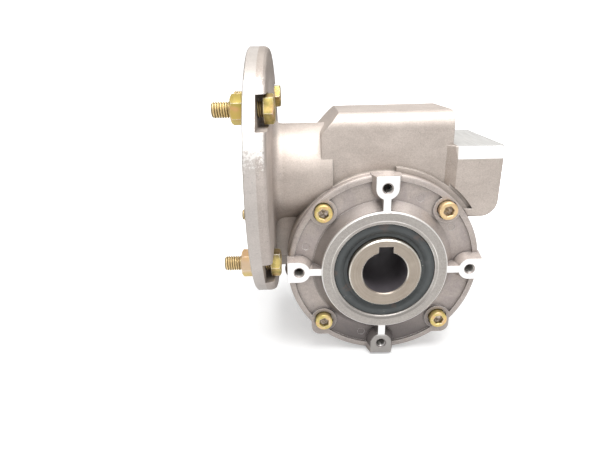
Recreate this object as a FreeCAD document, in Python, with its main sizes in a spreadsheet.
import FreeCAD, Part
import Sketcher
import math
import os
from FreeCAD import Vector, Rotation, Placement

# Worm gearbox, 49 mm centre distance, single-start worm, hollow output shaft.
# The origin is at the middle of the output shaft, whose axis is Y. The worm axis is
# parallel to X at z = centre_distance. The cover faces -Y (front), the motor flange
# -X (left), and Z is up. All lengths in millimetres.

doc = FreeCAD.newDocument("worm_gearbox")
sheet = doc.addObject("Spreadsheet::Sheet", "dims")

# (alias, value or formula, note). Faces and ends are places along the axis of their
# part. The output side is given as distances from the mid plane y = 0.
TABLE = [
    # gearing
    ("gear_module", 2.0, "axial module"),
    ("wheel_teeth", 36, "teeth on the wheel"),
    ("worm_starts", 1, "threads on the worm"),
    ("worm_pitch_radius", 13.0),
    ("centre_distance", "=gear_module * wheel_teeth / 2 + worm_pitch_radius",
     "worm axis above output axis"),
    ("worm_tip_radius", "=worm_pitch_radius + gear_module"),
    ("worm_root_radius", "=worm_pitch_radius - 1.2 * gear_module"),
    ("wheel_tip_radius", "=gear_module * (wheel_teeth / 2 + 1)"),
    ("wheel_root_radius", "=gear_module * (wheel_teeth / 2 - 1.2)"),
    ("wheel_half_width", 10.0),
    ("wheel_seat_radius", 26.0, "bronze rim on the shaft flange"),
    ("tooth_thinning", 0.13, "taken off each flank at the pitch line"),
    ("worm_thread_half", 19.5, "half length of the worm thread"),
    # output shaft
    ("shaft_half_length", 41.0),
    ("shaft_radius", 20.0, "bearing and seal seats"),
    ("shaft_end_chamfer", 0.7),
    ("bore_radius", 12.5, "output bore"),
    ("bore_chamfer", 0.6), ("keyway_width", 8.0),
    ("keyway_bottom", 4.0, "inside the bore"),
    ("keyway_top", 15.8, "from the axis"),
    ("shaft_shoulder_radius", 23.0),
    # output bearings 40 x 68 x 15
    ("bearing_inner_face", 14.5, "from the mid plane"),
    ("bearing_outer_face", 29.5), ("bearing_seat_radius", 34.0),
    ("bearing_ball_circle", "=(shaft_radius + bearing_seat_radius) / 2"),
    ("bearing_ball_radius", 3.95), ("bearing_groove_radius", 4.03),
    ("bearing_inner_land", 24.3), ("bearing_outer_land", 29.7),
    ("cage_inner_radius", 25.7), ("cage_outer_radius", 28.3),
    ("cage_half_width", 5.6), ("cage_pocket_radius", 4.15),
    ("shim_outer_face", 30.0), ("shim_inner_radius", 29.0), ("shim_clearance", 0.05),
    # output seals 40 x 56 x 8
    ("seal_radius", 28.0), ("seal_outer_face", 38.2), ("seal_inner_face", 30.2),
    ("seal_lip_gap", 0.05, "between any seal lip and its shaft"),
    # front cover
    ("hub_face", 39.0, "ring face from the mid plane"),
    ("hub_radius", 35.0, "pilot ring"),
    ("hub_chamfer", 0.5), ("hub_pilot_depth", 3.0), ("hub_root_radius", 39.5),
    ("hub_foot_rise", 1.2, "start of the pilot ring's foot, up and out"),
    ("hub_foot_drop", 0.2, "middle of the foot, below the rim face"),
    ("hub_foot_spread", 2.8, "middle of the foot, out from the ring"),
    ("seal_mouth_chamfer", 0.5),
    ("cover_radius", 54.0),
    ("cover_face", 33.0, "rim face from the mid plane"),
    ("cover_edge", 1.2, "cast edge"),
    ("cover_back", 28.0), ("pocket_floor", 31.6),
    ("rim_inner_radius", 50.4), ("rim_draft", 0.3),
    ("boss_circle_radius", 47.5, "tapped holes on a 95 mm circle"),
    ("boss_face", 38.0), ("boss_face_radius", 6.1), ("boss_root_radius", 8.0),
    ("boss_root_depth", 1.0, "root below the rim face"),
    ("rib_half_width", 2.0),
    ("rib_draft", 0.7, "widening of each side at the root"),
    ("rib_hub_overlap", 0.7, "rib end inside the pilot ring"),
    ("tap_radius", 2.5, "M6 tapping bore"),
    ("tap_mouth_radius", 3.1), ("tap_mouth_depth", 0.7), ("tap_depth", 9.4),
    ("pad_radius", 7.5, "screw pads"),
    ("lobe_inner", 26.0, "inner sides of the lobes, in x and z"),
    ("lobe_side", 40.8), ("lobe_drop", 43.4), ("lobe_corner", 5.0),
    ("lobe_rim_clearance", 1.1, "lobes start this far outside the rim's inner radius"),
    ("spotface", 30.5, "screw head seat"),
    ("spotface_clearance", 0.6), ("screw_clear_radius", 3.3),
    ("screw_radius", 3.0), ("screw_head_radius", 5.0), ("screw_head_top", 36.5),
    ("screw_end", 18.0), ("screw_socket_flats", 4.0), ("screw_socket_depth", 2.4),
    ("screw_hole_extra", 2.0, "thread depth beyond the screw's end"),
    ("spigot_radius", 42.45), ("spigot_end", 22.0),
    ("cover_bearing_radius", 38.6, "bearing carrier inside"),
    ("cover_bearing_end", 13.4), ("cover_bearing_flare", 0.6),
    ("oring_groove_near", 25.4), ("oring_groove_far", 23.2),
    ("oring_groove_radius", 40.5), ("oring_circle", 41.47), ("oring_section", 0.95),
    ("ejector_mark_radius", 2.1), ("ejector_mark_depth", 0.25),
    # housing
    ("mouth_radius", 42.5), ("drum_radius", 54.3), ("drum_edge", 0.4),
    ("drum_collar_radius", 56.8), ("relief_radius", 58.5), ("relief_floor", 27.4),
    ("rear_face", 33.0), ("cavity_back", 13.0),
    ("tunnel_half_depth", 25.5), ("tunnel_top", 85.0), ("tunnel_bottom", 29.5),
    ("tunnel_left", -34.0), ("tunnel_right", 36.2),
    ("tunnel_corner", 9.0), ("tunnel_bore_radius", 18.0),
    ("block_left", 38.0), ("block_right", 62.6),
    ("block_front", -29.5), ("block_back", 29.5),
    ("block_bottom", 27.6), ("block_top", 67.0),
    ("block_bevel_start", 60.2, "steep bevel of the top pad starts here"),
    ("block_bevel_front", 1.2), ("block_corner", 9.0), ("block_wall", 5.0),
    ("block_tunnel_lap", 8.0, "how far the block runs into the tunnel"),
    ("block_core_inset", 8.0, "left side of the hollow from block_left"),
    # motor flange, IEC B5, 140 mm
    ("flange_face", -71.4, "mating face"),
    ("flange_back", -60.5), ("flange_radius", 70.0),
    ("flange_edge", 1.6), ("flange_chamfer", 0.6),
    ("pilot_radius", 47.5), ("pilot_floor", -66.6), ("pilot_chamfer", 0.6),
    ("motor_bolt_circle", 57.5, "radius"),
    ("motor_hole_radius", 4.5),
    ("slot_floor", -65.4), ("slot_overrun", 6.0, "past the flange's back"),
    ("slot_inner", 31.5, "in y"), ("slot_outer", 75.0, "in y"),
    ("slot_low", 32.5, "in z, from the worm axis"),
    ("slot_high", 48.1, "in z, from the worm axis"),
    ("neck_radius", 28.2),
    ("neck_flare", 5.5, "fillet between neck and flange"),
    ("neck_tunnel_lap", 6.0, "how far the neck runs into the tunnel"),
    ("web_right", -40.0), ("web_front", -15.0), ("web_back", 15.0),
    ("web_bottom", 0.8), ("web_top", 40.0),
    ("web_base_half", 9.0), ("web_base_drop", 9.0),
    # motor bolts and nuts M8
    ("bolt_radius", 4.0),
    ("bolt_engaged_radius", 3.6, "mean thread radius, held in the nut"),
    ("bolt_end", -87.4), ("bolt_tip_chamfer", 0.9),
    ("bolt_seat", -62.3, "under the head"),
    ("bolt_head_height", 5.3), ("hex_flats", 13.0), ("nut_height", 6.8),
    # worm shaft, input end
    ("input_bearing_left", -56.0), ("input_bearing_right", -44.0),
    ("input_shaft_radius", 12.5), ("input_end", -66.0), ("input_end_chamfer", 0.8),
    ("input_bore_radius", 5.5), ("input_bore_end", -41.0),
    ("input_bore_chamfer", 0.5), ("input_bore_cone", 3.0, "length of the bore's point"),
    ("input_key_width", 4.0), ("input_key_bottom", 2.0, "above the worm axis"),
    ("input_key_top", 7.3, "above the worm axis"),
    ("input_key_stop", 2.0, "keyway end before the bore's end"),
    ("input_bearing_radius", 23.5),
    ("input_ball_circle", "=(input_shaft_radius + input_bearing_radius) / 2"),
    ("input_ball_radius", 3.17), ("input_groove_radius", 3.25),
    ("input_inner_land", 15.8), ("input_outer_land", 20.2),
    ("input_cage_inner", 16.9), ("input_cage_outer", 19.1),
    ("input_cage_half", 4.7), ("input_pocket_radius", 3.37),
    ("input_circlip_right", "=input_bearing_left"), ("input_circlip_left", -57.75),
    ("input_seal_right", -58.2), ("input_seal_left", -65.2),
    # worm shaft, tail end
    ("tail_bearing_left", 22.0), ("tail_bearing_right", 33.0),
    ("tail_bore_end", 36.0), ("tail_shaft_radius", 7.5),
    ("tail_bearing_radius", 17.5),
    ("tail_ball_circle", "=(tail_shaft_radius + tail_bearing_radius) / 2"),
    ("tail_ball_radius", 2.98), ("tail_groove_radius", 3.05),
    ("tail_inner_land", 10.4), ("tail_outer_land", 14.6),
    ("tail_cage_inner", 11.4), ("tail_cage_outer", 13.6),
    ("tail_cage_half", 4.3), ("tail_pocket_radius", 3.17),
]

LAP = 1.0    # how far tools and joined shapes run past or into their neighbours
JOIN = 0.5   # shorter overlap, for the parts of a screw
DIAGONALS = (45, 135, 225, 315)   # degrees, the four screws or bolts of a circle


class Size:
    """A sheet cell, or arithmetic on cells: its number and its expression."""

    def __init__(self, value, text=None):
        self.value = float(value)
        self.text = text if text is not None else "(%r)" % self.value

    @staticmethod
    def of(other):
        return other if isinstance(other, Size) else Size(other)

    def __add__(self, other):
        other = Size.of(other)
        return Size(self.value + other.value, "(%s + %s)" % (self.text, other.text))

    def __radd__(self, other):
        return Size.of(other) + self

    def __sub__(self, other):
        other = Size.of(other)
        return Size(self.value - other.value, "(%s - %s)" % (self.text, other.text))

    def __rsub__(self, other):
        return Size.of(other) - self

    def __mul__(self, other):
        other = Size.of(other)
        return Size(self.value * other.value, "(%s * %s)" % (self.text, other.text))

    def __rmul__(self, other):
        return Size.of(other) * self

    def __truediv__(self, other):
        other = Size.of(other)
        return Size(self.value / other.value, "(%s / %s)" % (self.text, other.text))

    def __neg__(self):
        return Size(-self.value, "(0 - %s)" % self.text)

    @property
    def bound(self):
        return "dims." in self.text


class Dimensions:
    """One Size for each alias of the sheet."""


for row, (alias, content, *note) in enumerate(TABLE, start=1):
    sheet.set("A%d" % row, alias)
    sheet.set("B%d" % row, str(content))
    if note:
        sheet.set("C%d" % row, note[0])
    sheet.setAlias("B%d" % row, alias)
doc.recompute()

dims = Dimensions()
for alias, *_ in TABLE:
    setattr(dims, alias, Size(sheet.get(alias), "dims." + alias))

worm_z = dims.centre_distance
ON_WORM = (0.0, worm_z)   # y and z of the worm axis

# ------------------------------------------------------------ shape helpers
AXIS_TURN = {
    "X": Rotation(Vector(0, 1, 0), 90),
    "Y": Rotation(Vector(1, 0, 0), -90),
}


def bind(obj, prop, size):
    size = Size.of(size)
    if size.bound:
        obj.setExpression(prop, size.text)


def place(obj, x, y, z, turn=None):
    spots = [Size.of(spot) for spot in (x, y, z)]
    obj.Placement = Placement(Vector(*[spot.value for spot in spots]), turn or Rotation())
    for letter, spot in zip("xyz", spots):
        bind(obj, "Placement.Base." + letter, spot)


def along(axis, distance, across, up):
    """Point at a distance along X or Y, with its two other coordinates."""
    return (distance, across, up) if axis == "X" else (across, distance, up)


def primitive(kind, name, **sizes):
    obj = doc.addObject(kind, name)
    for prop, size in sizes.items():
        setattr(obj, prop, Size.of(size).value)
        bind(obj, prop, size)
    return obj


def box(name, x0, x1, y0, y1, z0, z1):
    obj = primitive("Part::Box", name, Length=Size.of(x1) - x0,
                    Width=Size.of(y1) - y0, Height=Size.of(z1) - z0)
    place(obj, x0, y0, z0)
    return obj


def turned_box(name, size, corner, turn):
    """A box of the given (length, width, height), turned about its corner."""
    obj = primitive("Part::Box", name, Length=size[0], Width=size[1], Height=size[2])
    place(obj, *corner, turn=turn)
    return obj


def cylinder(name, axis, radius, start, end, across=0.0, up=0.0):
    obj = primitive("Part::Cylinder", name, Radius=radius, Height=Size.of(end) - start)
    place(obj, *along(axis, start, across, up), turn=AXIS_TURN[axis])
    return obj


def through_hole(name, axis, radius, start, end, across=0.0, up=0.0):
    """A cylinder that runs past both ends."""
    return cylinder(name, axis, radius, start - LAP, end + LAP, across, up)


def cone(name, axis, start_radius, end_radius, start, end, across=0.0, up=0.0):
    obj = primitive("Part::Cone", name, Radius1=start_radius, Radius2=end_radius,
                    Height=Size.of(end) - start)
    place(obj, *along(axis, start, across, up), turn=AXIS_TURN[axis])
    return obj


def torus(name, axis, circle, section, middle, across=0.0, up=0.0):
    obj = primitive("Part::Torus", name, Radius1=circle, Radius2=section)
    place(obj, *along(axis, middle, across, up), turn=AXIS_TURN[axis])
    return obj


def ball(name, radius, x, y, z):
    obj = primitive("Part::Sphere", name, Radius=radius)
    place(obj, x, y, z)
    return obj


def hexagon(name, axis, flats, start, end, across=0.0, up=0.0, spin=0.0):
    obj = primitive("Part::Prism", name, Polygon=6) if False else doc.addObject("Part::Prism", name)
    obj.Polygon = 6
    for prop, size in (("Circumradius", Size.of(flats) / math.sqrt(3.0)),
                       ("Height", Size.of(end) - start)):
        setattr(obj, prop, size.value)
        bind(obj, prop, size)
    turn = AXIS_TURN[axis] * Rotation(Vector(0, 0, 1), spin)
    place(obj, *along(axis, start, across, up), turn=turn)
    return obj


def wedge(name, y0, y1, near, far):
    """A block whose (x0, x1, z0, z1) changes from near at y0 to far at y1."""
    return primitive("Part::Wedge", name,
                     Xmin=near[0], Xmax=near[1], Zmin=near[2], Zmax=near[3],
                     X2min=far[0], X2max=far[1], Z2min=far[2], Z2max=far[3],
                     Ymin=y0, Ymax=y1)


def rounded(name, base, radius, keep):
    """Round those edges of base that keep(edge) picks."""
    doc.recompute()
    obj = doc.addObject("Part::Fillet", name)
    obj.Base = base
    obj.Edges = [(i + 1, radius, radius) for i, edge in enumerate(base.Shape.Edges)
                 if keep(edge)]
    return obj


def fuse(name, parts):
    obj = doc.addObject("Part::MultiFuse", name)
    obj.Shapes = parts
    obj.Refine = True
    return obj


def cut(name, base, tools):
    tool = tools[0] if len(tools) == 1 else fuse(name + "_tools", tools)
    obj = doc.addObject("Part::Cut", name)
    obj.Base = base
    obj.Tool = tool
    obj.Refine = True
    return obj


def common(name, first, second):
    obj = doc.addObject("Part::Common", name)
    obj.Base = first
    obj.Tool = second
    return obj


def group(name, parts):
    """Several separate solids of one kind, kept together."""
    obj = doc.addObject("Part::Compound", name)
    obj.Links = parts
    return obj


def plain_feature(name, shape):
    """A Part feature that holds a finished shape."""
    obj = doc.addObject("Part::Feature", name)
    obj.Shape = shape.Solids[0] if len(shape.Solids) == 1 else shape
    obj.Placement = Placement()
    return obj


def turned(name, axis, points):
    """A body turned about the output axis ("Y") or the worm axis ("X").

    points is a closed list of (distance along the axis, radius)."""
    body = doc.addObject("PartDesign::Body", name)
    plane = [f for f in body.Origin.OriginFeatures if f.Role == "XY_Plane"][0]
    sketch = body.newObject("Sketcher::SketchObject", name + "_profile")
    sketch.AttachmentSupport = (plane, [""])
    sketch.MapMode = "FlatFace"
    corners = []
    for distance, radius in points:
        distance, radius = Size.of(distance), Size.of(radius)
        corners.append((distance, radius) if axis == "X" else (radius, distance))
    count = len(corners)
    for i in range(count):
        ends = [Vector(u.value, v.value, 0) for u, v in (corners[i], corners[(i + 1) % count])]
        sketch.addGeometry(Part.LineSegment(*ends), False)
    for i in range(count):
        sketch.addConstraint(Sketcher.Constraint("Coincident", i, 2, (i + 1) % count, 1))
    for i, (u, v) in enumerate(corners):
        for kind, letter, size, zero_axis in (("DistanceX", "u", u, -2),
                                              ("DistanceY", "v", v, -1)):
            if abs(size.value) < 1e-9 and not size.bound:
                sketch.addConstraint(Sketcher.Constraint("PointOnObject", i, 1, zero_axis))
                continue
            index = sketch.addConstraint(
                Sketcher.Constraint(kind, -1, 1, i, 1, size.value))
            if size.bound:
                label = "%s%d" % (letter, i)
                sketch.renameConstraint(index, label)
                sketch.setExpression("Constraints." + label, size.text)
    turning = body.newObject("PartDesign::Revolution", name + "_turning")
    turning.Profile = sketch
    turning.ReferenceAxis = (sketch, ["H_Axis" if axis == "X" else "V_Axis"])
    turning.Angle = 360.0
    sketch.Visibility = False
    if axis == "X":
        place(body, 0.0, 0.0, worm_z)
    return body


def polar(radius, degrees):
    """Offsets of a point on a circle, bound to the sheet."""
    angle = math.radians(degrees)
    return Size.of(radius) * math.cos(angle), Size.of(radius) * math.sin(angle)


def in_order(side, near, far):
    """near and far, swapped on the negative side."""
    return (far, near) if side < 0 else (near, far)


def span(side, near, far):
    """Lower and upper end of a stretch from near to far on one side of zero."""
    return in_order(side, side * near, side * far)


nodes = {}


def node(name, obj):
    """Label an object and list it for export."""
    obj.Label = name
    nodes[name] = obj


# ---------------------------------------------- shapes on both cover and housing
def tapped_bosses(tag, side):
    """Four tapped bosses on the 95 mm circle, each with its ear and rib.

    side is -1 for the front and 1 for the rear. Returns the bosses and the holes."""
    add, remove = [], []
    root = side * (dims.cover_face - dims.boss_root_depth)
    top = side * dims.boss_face
    back = side * dims.cover_back
    tap_end = side * (dims.boss_face - dims.tap_depth)
    mouth_end = side * (dims.boss_face - dims.tap_mouth_depth)
    circle = dims.boss_circle_radius
    for degrees, on_x, sense in ((0, True, 1.0), (90, False, 1.0),
                                 (180, True, -1.0), (270, False, -1.0)):
        name = "%s_boss_%d" % (tag, degrees)
        x, z = (sense * circle, 0.0) if on_x else (0.0, sense * circle)
        add.append(cone(name, "Y",
                        *in_order(side, dims.boss_root_radius, dims.boss_face_radius),
                        *in_order(side, root, top), x, z))
        # ear and rib have drafted sides: narrow at the face, wider at the plate
        for part, near, far, narrow, wide in (
                ("_ear", circle, dims.cover_radius,
                 dims.boss_face_radius, dims.boss_root_radius),
                ("_rib", dims.hub_radius - dims.rib_hub_overlap, circle,
                 dims.rib_half_width, dims.rib_half_width + dims.rib_draft)):
            radial = span(sense, near, far)
            face, plate = [radial + (-half, half) if on_x else (-half, half) + radial
                           for half in (narrow, wide)]
            add.append(wedge(name + part, *in_order(side, root, top),
                             *in_order(side, plate, face)))
            add.append(box(name + part + "_foot", plate[0], plate[1],
                           *in_order(side, back, root), plate[2], plate[3]))
        remove.append(cylinder(name + "_tap", "Y", dims.tap_radius,
                               *in_order(side, tap_end, top + side * LAP), x, z))
        remove.append(cone(name + "_mouth", "Y",
                           *in_order(side, dims.tap_radius, dims.tap_mouth_radius),
                           *in_order(side, mouth_end, top), x, z))
    return add, remove


def corner_lobes(tag, y0, y1):
    """The two lobes under the lower screws, each with one rounded corner."""
    lobes = []
    low, inner, corner = -dims.lobe_drop, dims.lobe_inner, dims.lobe_corner
    centre = dims.lobe_side - corner
    for name, side in (("left", -1.0), ("right", 1.0)):
        name = "%s_lobe_%s" % (tag, name)
        lobes.append(box(name + "_a", *span(side, inner, centre), y0, y1, low, -inner))
        lobes.append(box(name + "_b", *span(side, inner, dims.lobe_side), y0, y1,
                         low + corner, -inner))
        lobes.append(cylinder(name + "_c", "Y", corner, y0, y1,
                              side * centre, low + corner))
    return lobes


# ---------------------------------------------------------------- front cover
# x and z of the shallow round marks left in the pockets by the die's ejector pins
EJECTOR_MARKS = ((37.1, 22.9), (-43.3, 13.3), (-11.1, -43.2), (19.0, 40.0))
EDGE_SHARE = 0.3      # middle point of the cast edge, as a share of its size
SOCKET_SPIN = 20.0    # degrees each screw's socket is turned past the last


def cover_blank():
    """Hub, plate, rim and spigot, from the outside face inwards."""
    return turned("cover_blank", "Y", [
        (-dims.hub_face, dims.seal_radius + dims.seal_mouth_chamfer),
        (-dims.hub_face, dims.hub_radius - dims.hub_chamfer),
        (-dims.hub_face + dims.hub_chamfer, dims.hub_radius),
        (-dims.hub_face + dims.hub_pilot_depth, dims.hub_radius),
        (-dims.cover_face - dims.hub_foot_rise, dims.hub_radius + dims.hub_foot_rise),
        (-dims.cover_face + dims.hub_foot_drop, dims.hub_radius + dims.hub_foot_spread),
        (-dims.pocket_floor, dims.hub_root_radius),
        (-dims.pocket_floor, dims.rim_inner_radius),
        (-dims.cover_face, dims.rim_inner_radius + dims.rim_draft),
        (-dims.cover_face, dims.cover_radius - dims.cover_edge),
        (-dims.cover_face + dims.cover_edge * EDGE_SHARE,
         dims.cover_radius - dims.cover_edge * EDGE_SHARE),
        (-dims.cover_face + dims.cover_edge, dims.cover_radius),
        (-dims.cover_back, dims.cover_radius),
        (-dims.cover_back, dims.spigot_radius),
        (-dims.oring_groove_near, dims.spigot_radius),
        (-dims.oring_groove_near, dims.oring_groove_radius),
        (-dims.oring_groove_far, dims.oring_groove_radius),
        (-dims.oring_groove_far, dims.spigot_radius),
        (-dims.spigot_end, dims.spigot_radius),
        (-dims.spigot_end, dims.cover_bearing_radius),
        (-dims.cover_bearing_end, dims.cover_bearing_radius),
        (-dims.cover_bearing_end, dims.bearing_seat_radius + dims.cover_bearing_flare),
        (-dims.bearing_inner_face, dims.bearing_seat_radius),
        (-dims.shim_outer_face, dims.bearing_seat_radius),
        (-dims.shim_outer_face, dims.seal_radius),
        (-dims.hub_face + dims.seal_mouth_chamfer, dims.seal_radius),
    ])


def front_cover():
    face, back = -dims.cover_face, -dims.cover_back
    blank = cover_blank()
    bosses, taps = tapped_bosses("cover", -1.0)
    lobes = cut("cover_lobes", fuse("cover_lobe_blocks", corner_lobes("cover", face, back)),
                [through_hole("cover_lobe_inside", "Y",
                              dims.rim_inner_radius + dims.lobe_rim_clearance, face, back)])
    pads, screw_cuts = [], []
    for degrees in DIAGONALS:
        x, z = polar(dims.boss_circle_radius, degrees)
        pads.append(common(
            "cover_pad_%d" % degrees,
            cylinder("cover_pad_disc_%d" % degrees, "Y", dims.pad_radius, face, back, x, z),
            cylinder("cover_pad_limit_%d" % degrees, "Y",
                     dims.cover_radius - dims.cover_edge, face, back)))
        screw_cuts.append(through_hole("cover_screw_hole_%d" % degrees, "Y",
                                       dims.screw_clear_radius, face, back, x, z))
        screw_cuts.append(cylinder("cover_spotface_%d" % degrees, "Y",
                                   dims.screw_head_radius + dims.spotface_clearance,
                                   face - LAP, -dims.spotface, x, z))
    # the machined bearing and seal seats stay clear of the rib roots
    seat = cylinder("cover_seat_clear", "Y", dims.seal_radius,
                    -dims.hub_face - 2.0 * LAP, back + LAP)
    marks = [cylinder("ejector_mark_%d" % k, "Y", dims.ejector_mark_radius,
                      -dims.pocket_floor - LAP,
                      -dims.pocket_floor + dims.ejector_mark_depth, x, z)
             for k, (x, z) in enumerate(EJECTOR_MARKS)]
    return cut("cover_machined", fuse("cover_cast", [blank] + bosses + [lobes] + pads),
               taps + screw_cuts + [seat] + marks)


def cover_screws():
    screws = []
    top = -dims.screw_head_top
    for k, degrees in enumerate(DIAGONALS):
        x, z = polar(dims.boss_circle_radius, degrees)
        head = cylinder("screw_head_%d" % degrees, "Y", dims.screw_head_radius,
                        top, -dims.spotface, x, z)
        shank = cylinder("screw_shank_%d" % degrees, "Y", dims.screw_radius,
                         -dims.spotface - JOIN, -dims.screw_end, x, z)
        socket = hexagon("screw_socket_%d" % degrees, "Y", dims.screw_socket_flats,
                         top - JOIN, top + dims.screw_socket_depth, x, z,
                         spin=SOCKET_SPIN * k)
        screws.append(cut("screw_%d" % degrees,
                          fuse("screw_solid_%d" % degrees, [head, shank]), [socket]))
    return group("screw_set", screws)


node("front_cover", front_cover())
node("front_cover_screws", cover_screws())
node("cover_oring", torus("oring", "Y", dims.oring_circle, dims.oring_section,
                          -(dims.oring_groove_near + dims.oring_groove_far) / 2.0))

# -------------------------------------------------------------- shaft seals
SEAL_EDGE = 0.4      # chamfer at the visible face
SEAL_WALL = 1.6      # outer wall
SEAL_WEB = 2.4       # depth of the web from the visible face
# lip side of the section: (depth from the visible face, height above the lip)
SEAL_LIP = (
    (2.4, 2.6), (6.0, 2.2), (6.2, 0.5), (4.6, 0.0), (2.4, 0.9),
    (1.3, 0.2), (0.6, 0.6), (0.9, 2.2), (0.3, 3.4), (0.0, 4.4),
)


def radial_seal(name, axis, radius, shaft_radius, face, back, inward):
    """Rubber-covered shaft seal; face is its visible side, inward the sign to back."""
    lip = shaft_radius + dims.seal_lip_gap
    return turned(name, axis, [
        (face, radius - SEAL_EDGE),
        (face + inward * SEAL_EDGE, radius),
        (back, radius),
        (back, radius - SEAL_WALL),
        (face + inward * SEAL_WEB, radius - SEAL_WALL),
    ] + [(face + inward * depth, lip + height) for depth, height in SEAL_LIP])


node("front_oil_seal", radial_seal("front_seal", "Y", dims.seal_radius, dims.shaft_radius,
                                   -dims.seal_outer_face, -dims.seal_inner_face, 1.0))
node("rear_oil_seal", radial_seal("rear_seal", "Y", dims.seal_radius, dims.shaft_radius,
                                  dims.seal_outer_face, dims.seal_inner_face, -1.0))
node("input_oil_seal", radial_seal("input_seal", "X", dims.input_bearing_radius,
                                   dims.input_shaft_radius, dims.input_seal_left,
                                   dims.input_seal_right, 1.0))


# ----------------------------------------------------------------- bearings
def bearing(tag, axis, start, end, bore, outer, ball_circle, ball_radius, groove,
            inner_land, outer_land, cage_inner, cage_outer, cage_half, pocket, count):
    """Deep-groove ball bearing: two rings, a cage and its balls."""
    middle = (start + end) / 2.0
    centre = ON_WORM if axis == "X" else (0.0, 0.0)

    def ring(name, blank_radius, bore_radius):
        return cut(name, cylinder(name + "_blank", axis, blank_radius, start, end, *centre),
                   [through_hole(name + "_bore", axis, bore_radius, start, end, *centre),
                    torus(name + "_race", axis, ball_circle, groove, middle, *centre)])

    inner_ring = ring(tag + "_inner", inner_land, bore)
    outer_ring = ring(tag + "_outer", outer, outer_land)
    balls, pockets = [], []
    for k in range(count):
        across, up = polar(ball_circle, 360.0 * (k + 0.5) / count)
        spot = along(axis, middle, centre[0] + across, centre[1] + up)
        balls.append(ball("%s_ball_%d" % (tag, k), ball_radius, *spot))
        pockets.append(ball("%s_pocket_%d" % (tag, k), pocket, *spot))
    width = (middle - cage_half, middle + cage_half)
    cage = cut(tag + "_cage",
               cylinder(tag + "_cage_blank", axis, cage_outer, *width, *centre),
               [through_hole(tag + "_cage_bore", axis, cage_inner, *width, *centre)]
               + pockets)
    node(tag + "_bearing_inner_ring", inner_ring)
    node(tag + "_bearing_outer_ring", outer_ring)
    node(tag + "_bearing_cage", cage)
    node(tag + "_bearing_balls", group(tag + "_ball_set", balls))


OUTPUT_BEARING = dict(
    bore=dims.shaft_radius, outer=dims.bearing_seat_radius,
    ball_circle=dims.bearing_ball_circle, ball_radius=dims.bearing_ball_radius,
    groove=dims.bearing_groove_radius, inner_land=dims.bearing_inner_land,
    outer_land=dims.bearing_outer_land, cage_inner=dims.cage_inner_radius,
    cage_outer=dims.cage_outer_radius, cage_half=dims.cage_half_width,
    pocket=dims.cage_pocket_radius, count=12)


def worm_bearing(tag, count):
    """A bearing on the worm shaft, from the aliases that start with its tag."""
    def size(name):
        return getattr(dims, "%s_%s" % (tag, name))

    bearing(tag, "X", size("bearing_left"), size("bearing_right"),
            bore=size("shaft_radius"), outer=size("bearing_radius"),
            ball_circle=size("ball_circle"), ball_radius=size("ball_radius"),
            groove=size("groove_radius"), inner_land=size("inner_land"),
            outer_land=size("outer_land"), cage_inner=size("cage_inner"),
            cage_outer=size("cage_outer"), cage_half=size("cage_half"),
            pocket=size("pocket_radius"), count=count)


bearing("front", "Y", -dims.bearing_outer_face, -dims.bearing_inner_face, **OUTPUT_BEARING)
bearing("rear", "Y", dims.bearing_inner_face, dims.bearing_outer_face, **OUTPUT_BEARING)
worm_bearing("input", 10)
worm_bearing("tail", 8)


def shim(name, side):
    """Adjusting shim on the outer side of an output bearing."""
    outer_face, inner_face = side * dims.shim_outer_face, side * dims.bearing_outer_face
    radius = dims.bearing_seat_radius - dims.shim_clearance
    return turned(name, "Y", [
        (outer_face, dims.shim_inner_radius), (outer_face, radius),
        (inner_face, radius), (inner_face, dims.shim_inner_radius)])


node("front_shim", shim("shim_front", -1.0))
node("rear_shim", shim("shim_rear", 1.0))

# -------------------------------------------------------------- hollow shaft


def hollow_shaft():
    end, chamfer = dims.shaft_half_length, dims.shaft_end_chamfer
    blank = turned("hollow_blank", "Y", [
        (-end, dims.bore_radius + dims.bore_chamfer),
        (-end, dims.shaft_radius - chamfer),
        (-end + chamfer, dims.shaft_radius),
        (-dims.bearing_inner_face, dims.shaft_radius),
        (-dims.bearing_inner_face, dims.shaft_shoulder_radius),
        (-dims.wheel_half_width, dims.shaft_shoulder_radius),
        (-dims.wheel_half_width, dims.wheel_seat_radius),
        (dims.wheel_half_width, dims.wheel_seat_radius),
        (dims.wheel_half_width, dims.shaft_shoulder_radius),
        (dims.bearing_inner_face, dims.shaft_shoulder_radius),
        (dims.bearing_inner_face, dims.shaft_radius),
        (end - chamfer, dims.shaft_radius),
        (end, dims.shaft_radius - chamfer),
        (end, dims.bore_radius + dims.bore_chamfer),
        (end - dims.bore_chamfer, dims.bore_radius),
        (-end + dims.bore_chamfer, dims.bore_radius),
    ])
    keyway = box("output_keyway", -dims.keyway_width / 2.0, dims.keyway_width / 2.0,
                 -end - LAP, end + LAP, dims.keyway_bottom, dims.keyway_top)
    return cut("hollow_keyed", blank, [keyway])


node("hollow_shaft", hollow_shaft())

# ------------------------------------------------- gear teeth (Part surfaces)
NORMAL_PRESSURE = 20.0    # degrees
FLANK_STEPS = 4           # spans of each flank's curve
WHEEL_EDGE_DEPTH = 2.0    # along Y, chamfer of the tooth tips
WHEEL_EDGE_RISE = 1.0     # the chamfer's cone starts and ends this far from the tip
THREAD_SINK = 0.35        # thread foot below the worm's root
THREAD_TRIM = 0.6         # cut off each end of the thread

MODULE = dims.gear_module.value
TEETH = int(dims.wheel_teeth.value)
THINNING = dims.tooth_thinning.value
WORM_PITCH = dims.worm_pitch_radius.value
TIP = dims.wheel_tip_radius.value
ROOT = dims.wheel_root_radius.value
LEAD_TANGENT = MODULE * dims.worm_starts.value / (2.0 * WORM_PITCH)
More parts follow.
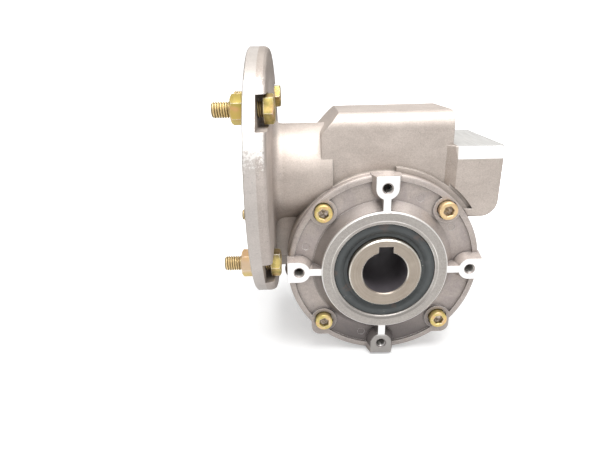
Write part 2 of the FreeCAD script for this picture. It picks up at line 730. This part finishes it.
# pressure angle in the worm's axial plane
PRESSURE = math.atan(math.tan(math.radians(NORMAL_PRESSURE))
                     / math.cos(math.atan(LEAD_TANGENT)))
WHEEL_PITCH = MODULE * TEETH / 2.0
BASE = WHEEL_PITCH * math.cos(PRESSURE)


def involute(angle):
    return math.tan(angle) - angle


def tooth_half_angle(radius):
    """Half the tooth's angle at a radius."""
    at_pitch = (math.pi * MODULE / 2.0 - 2.0 * THINNING) / (2.0 * WHEEL_PITCH)
    return at_pitch + involute(PRESSURE) - involute(math.acos(min(1.0, BASE / radius)))


def line(start, end):
    return Part.LineSegment(start, end).toShape()


def curve(points):
    spline = Part.BSplineCurve()
    spline.interpolate(points)
    return spline.toShape()


def wheel_wire(y, turn):
    """Outline of all the teeth in the plane y, turned by an angle about +Y."""
    start = max(BASE, ROOT)
    foot = ROOT if ROOT < start - 1e-6 else start
    radii = [start + (TIP - start) * k / float(FLANK_STEPS) for k in range(FLANK_STEPS + 1)]
    step = 2.0 * math.pi / TEETH
    edges = []

    def point(radius, angle):
        # measured from +Z towards +X, a positive turn about +Y
        return Vector(radius * math.sin(angle + turn), y, radius * math.cos(angle + turn))

    for k in range(TEETH):
        middle = (k + 0.5) * step
        half = tooth_half_angle(start)
        rising = [point(r, middle - tooth_half_angle(r)) for r in radii]
        falling = [point(r, middle + tooth_half_angle(r)) for r in reversed(radii)]
        if foot < start:
            # the flanks run on from the base circle down to the root
            rising.insert(0, point(foot, middle - half))
            falling.append(point(foot, middle + half))
        edges += [curve(rising), line(rising[-1], falling[0]), curve(falling),
                  line(falling[-1], point(foot, middle + step - half))]
    return Part.Wire(edges)


def worm_wheel():
    half = dims.wheel_half_width.value
    twist = LEAD_TANGENT / WHEEL_PITCH
    along_y = Vector(0, 1, 0)
    rim = Part.makeLoft([wheel_wire(-half, -half * twist), wheel_wire(half, half * twist)],
                        True, True)
    inside, outside = TIP - WHEEL_EDGE_RISE, TIP + WHEEL_EDGE_RISE
    depth = WHEEL_EDGE_DEPTH
    front = Part.makeCone(inside, outside, depth, Vector(0, -half, 0), along_y)
    middle = Part.makeCylinder(outside, 2.0 * half - 2.0 * depth,
                               Vector(0, -half + depth, 0), along_y)
    rear = Part.makeCone(outside, inside, depth, Vector(0, half - depth, 0), along_y)
    rim = rim.common(front.fuse([middle, rear]))
    seat = Part.makeCylinder(dims.wheel_seat_radius.value, 2.0 * half + 2.0 * LAP,
                             Vector(0, -half - LAP, 0), along_y)
    return plain_feature("wheel_rim", rim.cut(seat))


def worm_thread():
    """Right-hand ridge, straight-sided in the axial section, centred under the worm
    axis at x = 0."""
    lead = math.pi * MODULE * dims.worm_starts.value
    tip = dims.worm_tip_radius.value
    foot = dims.worm_root_radius.value - THREAD_SINK
    half_length = dims.worm_thread_half.value
    length = 2.0 * half_length
    slope = math.tan(PRESSURE)
    half_pitch_width = math.pi * MODULE / 4.0 - THINNING
    foot_half = half_pitch_width + (WORM_PITCH - foot) * slope
    tip_half = half_pitch_width - (tip - WORM_PITCH) * slope
    # built about Z first: the helix climbs along +Z
    section = [Vector(foot, 0, -foot_half), Vector(foot, 0, foot_half),
               Vector(tip, 0, tip_half), Vector(tip, 0, -tip_half)]
    wire = Part.makePolygon(section + [section[0]])
    helix = Part.makeHelix(lead, length, WORM_PITCH)
    thread = Part.Wire(helix).makePipeShell([wire], True, True)
    thread = thread.common(Part.makeCylinder(tip + LAP, length - 2.0 * THREAD_TRIM,
                                             Vector(0, 0, THREAD_TRIM)))
    # turning Z into +X brings the start section to -Z; the phase then sets the
    # ridge under the axis at x = 0
    to_x = Placement(Vector(0, 0, 0), Rotation(Vector(0, 1, 0), 90))
    phase = -360.0 * ((half_length / lead) % 1.0)
    thread.Placement = (Placement(Vector(-half_length, 0, worm_z.value), Rotation())
                        .multiply(Placement(Vector(), Rotation(Vector(1, 0, 0), phase)))
                        .multiply(to_x))
    return thread


# ---------------------------------------------------------------- worm shaft
CLIP_GROOVE_GAP = 0.05      # shaft groove's left side from input_circlip_left
CLIP_GROOVE_DEPTH = 0.8
COLLAR_DROP = 0.2           # collar beside the input bearing, below the thread tip
COLLAR_END = 4.0            # from the input bearing
COLLAR_TAPER_END = 8.0      # from the input bearing
TAIL_TAPER = 1.5
TAIL_GROOVE_DEPTH = 0.4
TAIL_GROOVE_END = 1.0       # this and the next two, from the tail bearing
TAIL_CHAMFER_START = 1.8
TAIL_END = 2.4
TAIL_CHAMFER = 0.6


def worm_core():
    """Worm shaft without its thread."""
    shaft, tail_shaft = dims.input_shaft_radius, dims.tail_shaft_radius
    groove_left = dims.input_circlip_left + CLIP_GROOVE_GAP
    collar = dims.worm_tip_radius - COLLAR_DROP
    tail = dims.tail_bearing_right
    blank = turned("worm_core_blank", "X", [
        (dims.input_end, dims.input_bore_radius + dims.input_bore_chamfer),
        (dims.input_end, shaft - dims.input_end_chamfer),
        (dims.input_end + dims.input_end_chamfer, shaft),
        (groove_left, shaft),
        (groove_left, shaft - CLIP_GROOVE_DEPTH),
        (dims.input_circlip_right, shaft - CLIP_GROOVE_DEPTH),
        (dims.input_circlip_right, shaft),
        (dims.input_bearing_right, shaft),
        (dims.input_bearing_right, collar),
        (dims.input_bearing_right + COLLAR_END, collar),
        (dims.input_bearing_right + COLLAR_TAPER_END, dims.worm_root_radius),
        (dims.tail_bearing_left - TAIL_TAPER, dims.worm_root_radius),
        (dims.tail_bearing_left, dims.worm_root_radius - TAIL_TAPER),
        (dims.tail_bearing_left, tail_shaft),
        (tail, tail_shaft),
        (tail, tail_shaft - TAIL_GROOVE_DEPTH),
        (tail + TAIL_GROOVE_END, tail_shaft - TAIL_GROOVE_DEPTH),
        (tail + TAIL_GROOVE_END, tail_shaft),
        (tail + TAIL_CHAMFER_START, tail_shaft),
        (tail + TAIL_END, tail_shaft - TAIL_CHAMFER),
        (tail + TAIL_END, 0.0),
        (dims.input_bore_end + dims.input_bore_cone, 0.0),
        (dims.input_bore_end, dims.input_bore_radius),
        (dims.input_end + dims.input_bore_chamfer, dims.input_bore_radius),
    ])
    keyway = box("input_keyway", dims.input_end - LAP,
                 dims.input_bore_end - dims.input_key_stop,
                 -dims.input_key_width / 2.0, dims.input_key_width / 2.0,
                 worm_z + dims.input_key_bottom, worm_z + dims.input_key_top)
    return cut("worm_core", blank, [keyway])


def worm_shaft():
    thread = worm_thread()
    core = worm_core()
    doc.recompute()
    return plain_feature("worm_with_thread", core.Shape.fuse(thread))


node("worm_wheel", worm_wheel())
node("worm_shaft", worm_shaft())

# ------------------------------------------------------------------ circlips
EAR_RADIUS = 2.1
EYE_RADIUS = 0.9
CLIP_GAP_HALF = 1.6
CLIP_GAP_REACH = 6.0    # the gap's tool runs this far past the ring, down and up


def circlip(name, start, end, inner, outer, ear_circle, ear_angle):
    """Retaining ring about the worm axis, with a gap below and two pierced ears.

    ear_angle is in degrees, from straight down to each ear."""
    ring = cut(name + "_ring", cylinder(name + "_disc", "X", outer, start, end, *ON_WORM),
               [through_hole(name + "_hole", "X", inner, start, end, *ON_WORM)])
    ears, eyes = [], []
    for index, side in ((0, -1), (2, 1)):
        y, up = polar(ear_circle, -90.0 + side * ear_angle)
        ears.append(cylinder("%s_ear_%d" % (name, index), "X", EAR_RADIUS,
                             start, end, y, worm_z + up))
        eyes.append(through_hole("%s_eye_%d" % (name, index), "X", EYE_RADIUS,
                                 start, end, y, worm_z + up))
    gap = box(name + "_gap", start - LAP, end + LAP, -CLIP_GAP_HALF, CLIP_GAP_HALF,
              worm_z - outer - CLIP_GAP_REACH, worm_z - inner + CLIP_GAP_REACH)
    return cut(name, fuse(name + "_with_ears", [ring] + ears), eyes + [gap])


node("input_circlip", circlip(
    "clip_input", dims.input_circlip_left, dims.input_circlip_right,
    inner=dims.input_bearing_radius - 3.2, outer=dims.input_bearing_radius + 1.1,
    ear_circle=dims.input_bearing_radius - 4.2, ear_angle=13.0))
node("input_shaft_circlip", circlip(
    "clip_shaft", dims.input_circlip_left + 0.1, dims.input_circlip_right,
    inner=dims.input_shaft_radius - 0.75, outer=dims.input_shaft_radius + 1.6,
    ear_circle=dims.input_shaft_radius + 2.0, ear_angle=24.0))
node("tail_shaft_circlip", circlip(
    "clip_tail", dims.tail_bearing_right, dims.tail_bearing_right + 0.95,
    inner=dims.tail_shaft_radius - 0.35, outer=dims.tail_shaft_radius + 1.3,
    ear_circle=dims.tail_shaft_radius + 2.1, ear_angle=24.0))

# ----------------------------------------------------------- housing, as cast
# flange's rear edge: (distance from the back, drop from the flange radius)
FLANGE_EDGE_START = 3.3
FLANGE_EDGE = ((dims.flange_edge, 0.35), (0.5, 1.1), (0.0, 2.3))
FLARE_STEPS = 6
SLOPE_SIZE = (40.0, 80.0, 30.0)
SLOPE_DROP = 12.0         # corner of the slope's tool below the tunnel top
SLOPE_ANGLE = -48.0       # degrees about Y
SHOULDER_SIZE = (20.0, 20.0, 60.0)
SHOULDER_ANGLE = 38.0     # degrees about Z
BLOCK_OPEN = 5.0          # tools start this far below the block
BLOCK_ROUNDING = 1.6
COLLAR_LEFT, COLLAR_RIGHT = 6.0, 60.0
COLLAR_HALF_DEPTH = 40.0
COLLAR_RAISE = 0.4        # collar's bottom above the block's
COLLAR_TOP = 70.0
LOBE_DEPTH = 20.0


def drum():
    """Gear drum with its rear wall and hub."""
    return turned("drum_blank", "Y", [
        (-dims.cover_back, 0.0),
        (-dims.cover_back, dims.drum_radius - dims.drum_edge),
        (-dims.cover_back + dims.drum_edge, dims.drum_radius),
        (dims.rear_face - dims.cover_edge, dims.drum_radius),
        (dims.rear_face, dims.drum_radius - dims.cover_edge),
        (dims.rear_face, dims.rim_inner_radius + dims.rim_draft),
        (dims.pocket_floor, dims.rim_inner_radius),
        (dims.pocket_floor, dims.hub_root_radius),
        (dims.rear_face + dims.hub_foot_rise, dims.hub_radius + dims.hub_foot_rise),
        (dims.hub_face - dims.hub_pilot_depth, dims.hub_radius),
        (dims.hub_face - dims.hub_chamfer, dims.hub_radius),
        (dims.hub_face, dims.hub_radius - dims.hub_chamfer),
        (dims.hub_face, 0.0),
    ])


def motor_flange():
    """Flange disc, neck flare and neck about the worm axis."""
    flare = []
    for k in range(FLARE_STEPS + 1):
        angle = math.radians(90.0 * k / FLARE_STEPS)
        flare.append((dims.flange_back + dims.neck_flare * (1.0 - math.cos(angle)),
                      dims.neck_radius + dims.neck_flare * (1.0 - math.sin(angle))))
    neck_end = dims.tunnel_left + dims.neck_tunnel_lap
    return turned("flange_blank", "X", [
        (dims.flange_face, 0.0),
        (dims.flange_face, dims.flange_radius - dims.flange_chamfer),
        (dims.flange_face + dims.flange_chamfer, dims.flange_radius),
        (dims.flange_back - FLANGE_EDGE_START, dims.flange_radius),
    ] + [(dims.flange_back - distance, dims.flange_radius - drop)
         for distance, drop in FLANGE_EDGE] + flare + [
        (neck_end, dims.neck_radius),
        (neck_end, 0.0),
    ])


def worm_tunnel():
    """Box round the worm, rounded along its top, sloping down to the neck."""
    corner, half = dims.tunnel_corner, dims.tunnel_half_depth
    left, right, top = dims.tunnel_left, dims.tunnel_right, dims.tunnel_top
    tunnel = fuse("tunnel_box", [
        box("tunnel_core", left, right, -half, half, dims.tunnel_bottom, top - corner),
        box("tunnel_cap", left, right, -half + corner, half - corner,
            top - corner - LAP, top),
        cylinder("tunnel_edge_front", "X", corner, left, right, -half + corner, top - corner),
        cylinder("tunnel_edge_back", "X", corner, left, right, half - corner, top - corner),
    ])
    slope = turned_box("tunnel_slope", SLOPE_SIZE,
                       (left - LAP, -SLOPE_SIZE[1] / 2.0, top - SLOPE_DROP),
                       Rotation(Vector(0, 1, 0), SLOPE_ANGLE))
    return cut("tunnel_shaped", tunnel, [slope])


def block_outer_edge(edge):
    """Edges round the block's front, back and right faces, away from the tunnel."""
    bounds = edge.BoundBox
    bevel = dims.block_bevel_start.value
    if bounds.XMax < dims.block_left.value + 1.0 or bounds.ZMin > dims.block_top.value - 0.1:
        return False
    if bounds.ZMin > bevel - 0.1:
        return (bounds.ZMax > bevel + 0.1 and bounds.XMin > dims.block_right.value - 0.1
                and bounds.YLength < 5.0)
    return (bounds.YMax < dims.block_front.value + 0.05
            or bounds.YMin > dims.block_back.value - 0.05)


def tail_block():
    """Block at the tail end, with a rounded lower corner and sloping shoulders."""
    corner, bevel = dims.block_corner, dims.block_bevel_front
    front, back = dims.block_front, dims.block_back
    left, right = dims.block_left - dims.block_tunnel_lap, dims.block_right
    bottom, bevel_start = dims.block_bottom, dims.block_bevel_start
    # built along Y, then stood up along Z
    pad_bevel = wedge("block_pad_bevel", bevel_start, dims.block_top,
                      (left, right, front, back),
                      (left, right, front + bevel, back - bevel))
    pad_bevel.Placement = Placement(Vector(), Rotation(Vector(1, 0, 0), 90))
    block = fuse("tail_block", [
        box("block_upper", dims.block_left, right, front, back, bottom + corner, bevel_start),
        box("block_lower", left, right - corner, front, back, bottom, bevel_start),
        pad_bevel,
        cylinder("block_round", "Y", corner, front, back, right - corner, bottom + corner),
    ])
    # the front and back of the block slope in to the tunnel's faces
    shoulders = [turned_box("shoulder_" + tag, SHOULDER_SIZE,
                            (dims.block_left, y, bottom - BLOCK_OPEN),
                            Rotation(Vector(0, 0, 1), angle))
                 for tag, y, angle in (("front", front, 180.0 - SHOULDER_ANGLE),
                                       ("back", back, 90.0 + SHOULDER_ANGLE))]
    block = cut("tail_block_shaped", block, shoulders)
    return rounded("tail_block_rounded", block, BLOCK_ROUNDING, block_outer_edge)


def housing_casting(rear_bosses):
    back = dims.cover_back
    web_left = dims.flange_back - LAP
    parts = [
        drum(), motor_flange(), worm_tunnel(), tail_block(),
        common("drum_collar",
               cylinder("collar_disc", "Y", dims.drum_collar_radius, -back, back),
               box("collar_window", COLLAR_LEFT, COLLAR_RIGHT,
                   -COLLAR_HALF_DEPTH, COLLAR_HALF_DEPTH,
                   dims.block_bottom + COLLAR_RAISE, COLLAR_TOP)),
        box("flange_web", web_left, dims.web_right, dims.web_front, dims.web_back,
            dims.web_bottom, dims.web_top),
        box("flange_web_base", web_left, dims.web_right,
            -dims.web_base_half, dims.web_base_half,
            dims.web_bottom - dims.web_base_drop, dims.web_bottom + LAP),
    ]
    lobes = (corner_lobes("drum_front", -back, -back + LOBE_DEPTH)
             + corner_lobes("drum_rear", dims.rear_face - LOBE_DEPTH, dims.rear_face))
    pads = [cylinder("rear_pad_%d" % degrees, "Y", dims.pad_radius, back, dims.rear_face,
                     *polar(dims.boss_circle_radius, degrees)) for degrees in DIAGONALS]
    return fuse("housing_cast", parts + rear_bosses + lobes + pads)


# ---------------------------------------------------------- housing, machined
MOUTH_START = 12.0          # the mouth's tool starts this far in front of the joint
GROOVE_CLEARANCE = 1.15     # circlip groove beyond the bearing radius
GROOVE_SIDE_GAP = 0.05
RELIEF_START = -34.0        # y where the relief's tool starts
RELIEF_LEFT, RELIEF_BACK = 34.0, -20.0
STEP_BOTTOM = 32.6          # relief and wide joint lie above this height
STEP_LIMIT = 60.0           # and inside this x and z
JOINT_START = -50.0         # y where the joint's tools start
JOINT_CLEARANCE = 0.5       # round the cover
JOINT_LEFT = 20.0


def output_bores():
    """Mouth and wheel chamber, rear bearing seat and rear seal seat."""
    return [
        cylinder("mouth", "Y", dims.mouth_radius, -dims.cover_back - MOUTH_START,
                 dims.cavity_back),
        cylinder("rear_bearing_seat", "Y", dims.bearing_seat_radius,
                 dims.cavity_back - LAP, dims.shim_outer_face),
        cylinder("rear_seal_seat", "Y", dims.seal_radius,
                 dims.shim_outer_face - LAP, dims.hub_face + 2.0 * LAP),
    ]


def worm_bores():
    """Tunnel bore, bearing seats, circlip groove and motor pilot."""
    bores = [cylinder(name, "X", radius, start, end, *ON_WORM) for name, radius, start, end in (
        ("worm_tunnel_bore", dims.tunnel_bore_radius,
         dims.input_bearing_right - LAP, dims.tail_bearing_left),
        ("tail_seat", dims.tail_bearing_radius,
         dims.tail_bearing_left - LAP, dims.tail_bearing_right),
        ("tail_relief", dims.tail_outer_land,
         dims.tail_bearing_right - LAP, dims.tail_bore_end),
        ("input_seat", dims.input_bearing_radius,
         dims.flange_face - LAP, dims.input_bearing_right),
        ("input_clip_groove", dims.input_bearing_radius + GROOVE_CLEARANCE,
         dims.input_circlip_left - GROOVE_SIDE_GAP, dims.input_circlip_right),
        ("motor_pilot", dims.pilot_radius, dims.flange_face - LAP, dims.pilot_floor),
    )]
    chamfer = cone("pilot_mouth", "X", dims.pilot_radius + dims.pilot_chamfer,
                   dims.pilot_radius, dims.flange_face,
                   dims.flange_face + dims.pilot_chamfer, *ON_WORM)
    return bores + [chamfer]


def motor_holes():
    """Motor bolt holes and the slots behind them."""
    tools = []
    for degrees in DIAGONALS:
        y, up = polar(dims.motor_bolt_circle, degrees)
        tools.append(through_hole("motor_hole_%d" % degrees, "X", dims.motor_hole_radius,
                                  dims.flange_face, dims.flange_back, y, worm_z + up))
        y_side = 1.0 if y.value > 0 else -1.0
        z_side = 1.0 if up.value > 0 else -1.0
        low, high = span(z_side, dims.slot_low, dims.slot_high)
        tools.append(box("slot_%d" % degrees, dims.slot_floor,
                         dims.flange_back + dims.slot_overrun,
                         *span(y_side, dims.slot_inner, dims.slot_outer),
                         worm_z + low, worm_z + high))
    return tools


def joint_cuts():
    """Cover screw threads, relief round the drum, and room for the cover."""
    back = -dims.cover_back
    threads = [cylinder("cover_thread_%d" % degrees, "Y", dims.screw_radius, back - LAP,
                        -dims.screw_end + dims.screw_hole_extra,
                        *polar(dims.boss_circle_radius, degrees)) for degrees in DIAGONALS]
    relief = cut("relief_ring",
                 cylinder("relief_outer", "Y", dims.relief_radius, RELIEF_START,
                          -dims.relief_floor),
                 [cylinder("relief_inner", "Y", dims.drum_collar_radius,
                           RELIEF_START - LAP, -dims.relief_floor + LAP)])
    relief_arc = common("relief_arc", relief,
                        box("relief_window", RELIEF_LEFT, STEP_LIMIT,
                            RELIEF_START - 2.0 * LAP, RELIEF_BACK,
                            STEP_BOTTOM, STEP_LIMIT))
    # in front of the joint plane, wider above, where the collar shows
    joint = cylinder("joint_plane", "Y", dims.cover_radius + JOINT_CLEARANCE,
                     JOINT_START, back)
    joint_collar = common("joint_collar",
                          cylinder("joint_collar_disc", "Y", dims.drum_collar_radius,
                                   JOINT_START, back),
                          box("joint_window", JOINT_LEFT, STEP_LIMIT,
                              JOINT_START - LAP, back + LAP, STEP_BOTTOM, STEP_LIMIT))
    return threads + [relief_arc, joint, joint_collar]


def block_core():
    """The tail block is hollow from below, as cast."""
    wall = dims.block_wall
    return box("block_core", dims.block_left + dims.block_core_inset,
               dims.block_right - wall, dims.block_front + wall, dims.block_back - wall,
               dims.block_bottom - BLOCK_OPEN, dims.block_top - wall)


def housing():
    rear_bosses, rear_taps = tapped_bosses("rear", 1.0)
    casting = housing_casting(rear_bosses)
    return cut("housing_machined", casting,
               output_bores() + worm_bores() + motor_holes() + joint_cuts()
               + [block_core()] + rear_taps)


node("housing", housing())

# ------------------------------------------------------ motor bolts and nuts
# degrees each hexagon is turned, in the order of DIAGONALS
BOLT_SPINS = (30.0, 42.0, 33.0, 38.0)
NUT_SPINS = (50.0, 2.0, 40.0, 32.0)


def motor_bolt(degrees, spin, y, z):
    nut_left = dims.flange_face - dims.nut_height
    chamfer = dims.bolt_tip_chamfer
    return fuse("bolt_%d" % degrees, [
        cylinder("bolt_shank_%d" % degrees, "X", dims.bolt_engaged_radius,
                 nut_left - JOIN, dims.bolt_seat + JOIN, y, z),
        cylinder("bolt_stud_%d" % degrees, "X", dims.bolt_radius,
                 dims.bolt_end + chamfer, nut_left, y, z),
        cone("bolt_tip_%d" % degrees, "X", dims.bolt_radius - chamfer, dims.bolt_radius,
             dims.bolt_end, dims.bolt_end + chamfer, y, z),
        hexagon("bolt_head_%d" % degrees, "X", dims.hex_flats, dims.bolt_seat,
                dims.bolt_seat + dims.bolt_head_height, y, z, spin),
    ])


def motor_nut(degrees, spin, y, z):
    left, right = dims.flange_face - dims.nut_height, dims.flange_face
    blank = hexagon("nut_blank_%d" % degrees, "X", dims.hex_flats, left, right, y, z, spin)
    return cut("nut_%d" % degrees, blank,
               [through_hole("nut_bore_%d" % degrees, "X", dims.bolt_engaged_radius,
                             left, right, y, z)])


bolts, nuts = [], []
for degrees, bolt_spin, nut_spin in zip(DIAGONALS, BOLT_SPINS, NUT_SPINS):
    y, up = polar(dims.motor_bolt_circle, degrees)
    bolts.append(motor_bolt(degrees, bolt_spin, y, worm_z + up))
    nuts.append(motor_nut(degrees, nut_spin, y, worm_z + up))
node("motor_bolts", group("bolt_set", bolts))
node("motor_nuts", group("nut_set", nuts))

doc.recompute()

# ------------------------------------------------------------ check and write
failed = ["%s (%s): %s" % (obj.Name, obj.Label, obj.State) for obj in doc.Objects
          if "Invalid" in obj.State or "Error" in obj.State]
if failed:
    raise RuntimeError("objects that failed to compute: " + "; ".join(failed))

os.makedirs("parts", exist_ok=True)
for name, obj in nodes.items():
    if obj.Shape.isNull() or not obj.Shape.isValid():
        raise RuntimeError("%s has a null or invalid shape" % name)
for name, obj in nodes.items():
    obj.Shape.exportStep("parts/%s.step" % name)
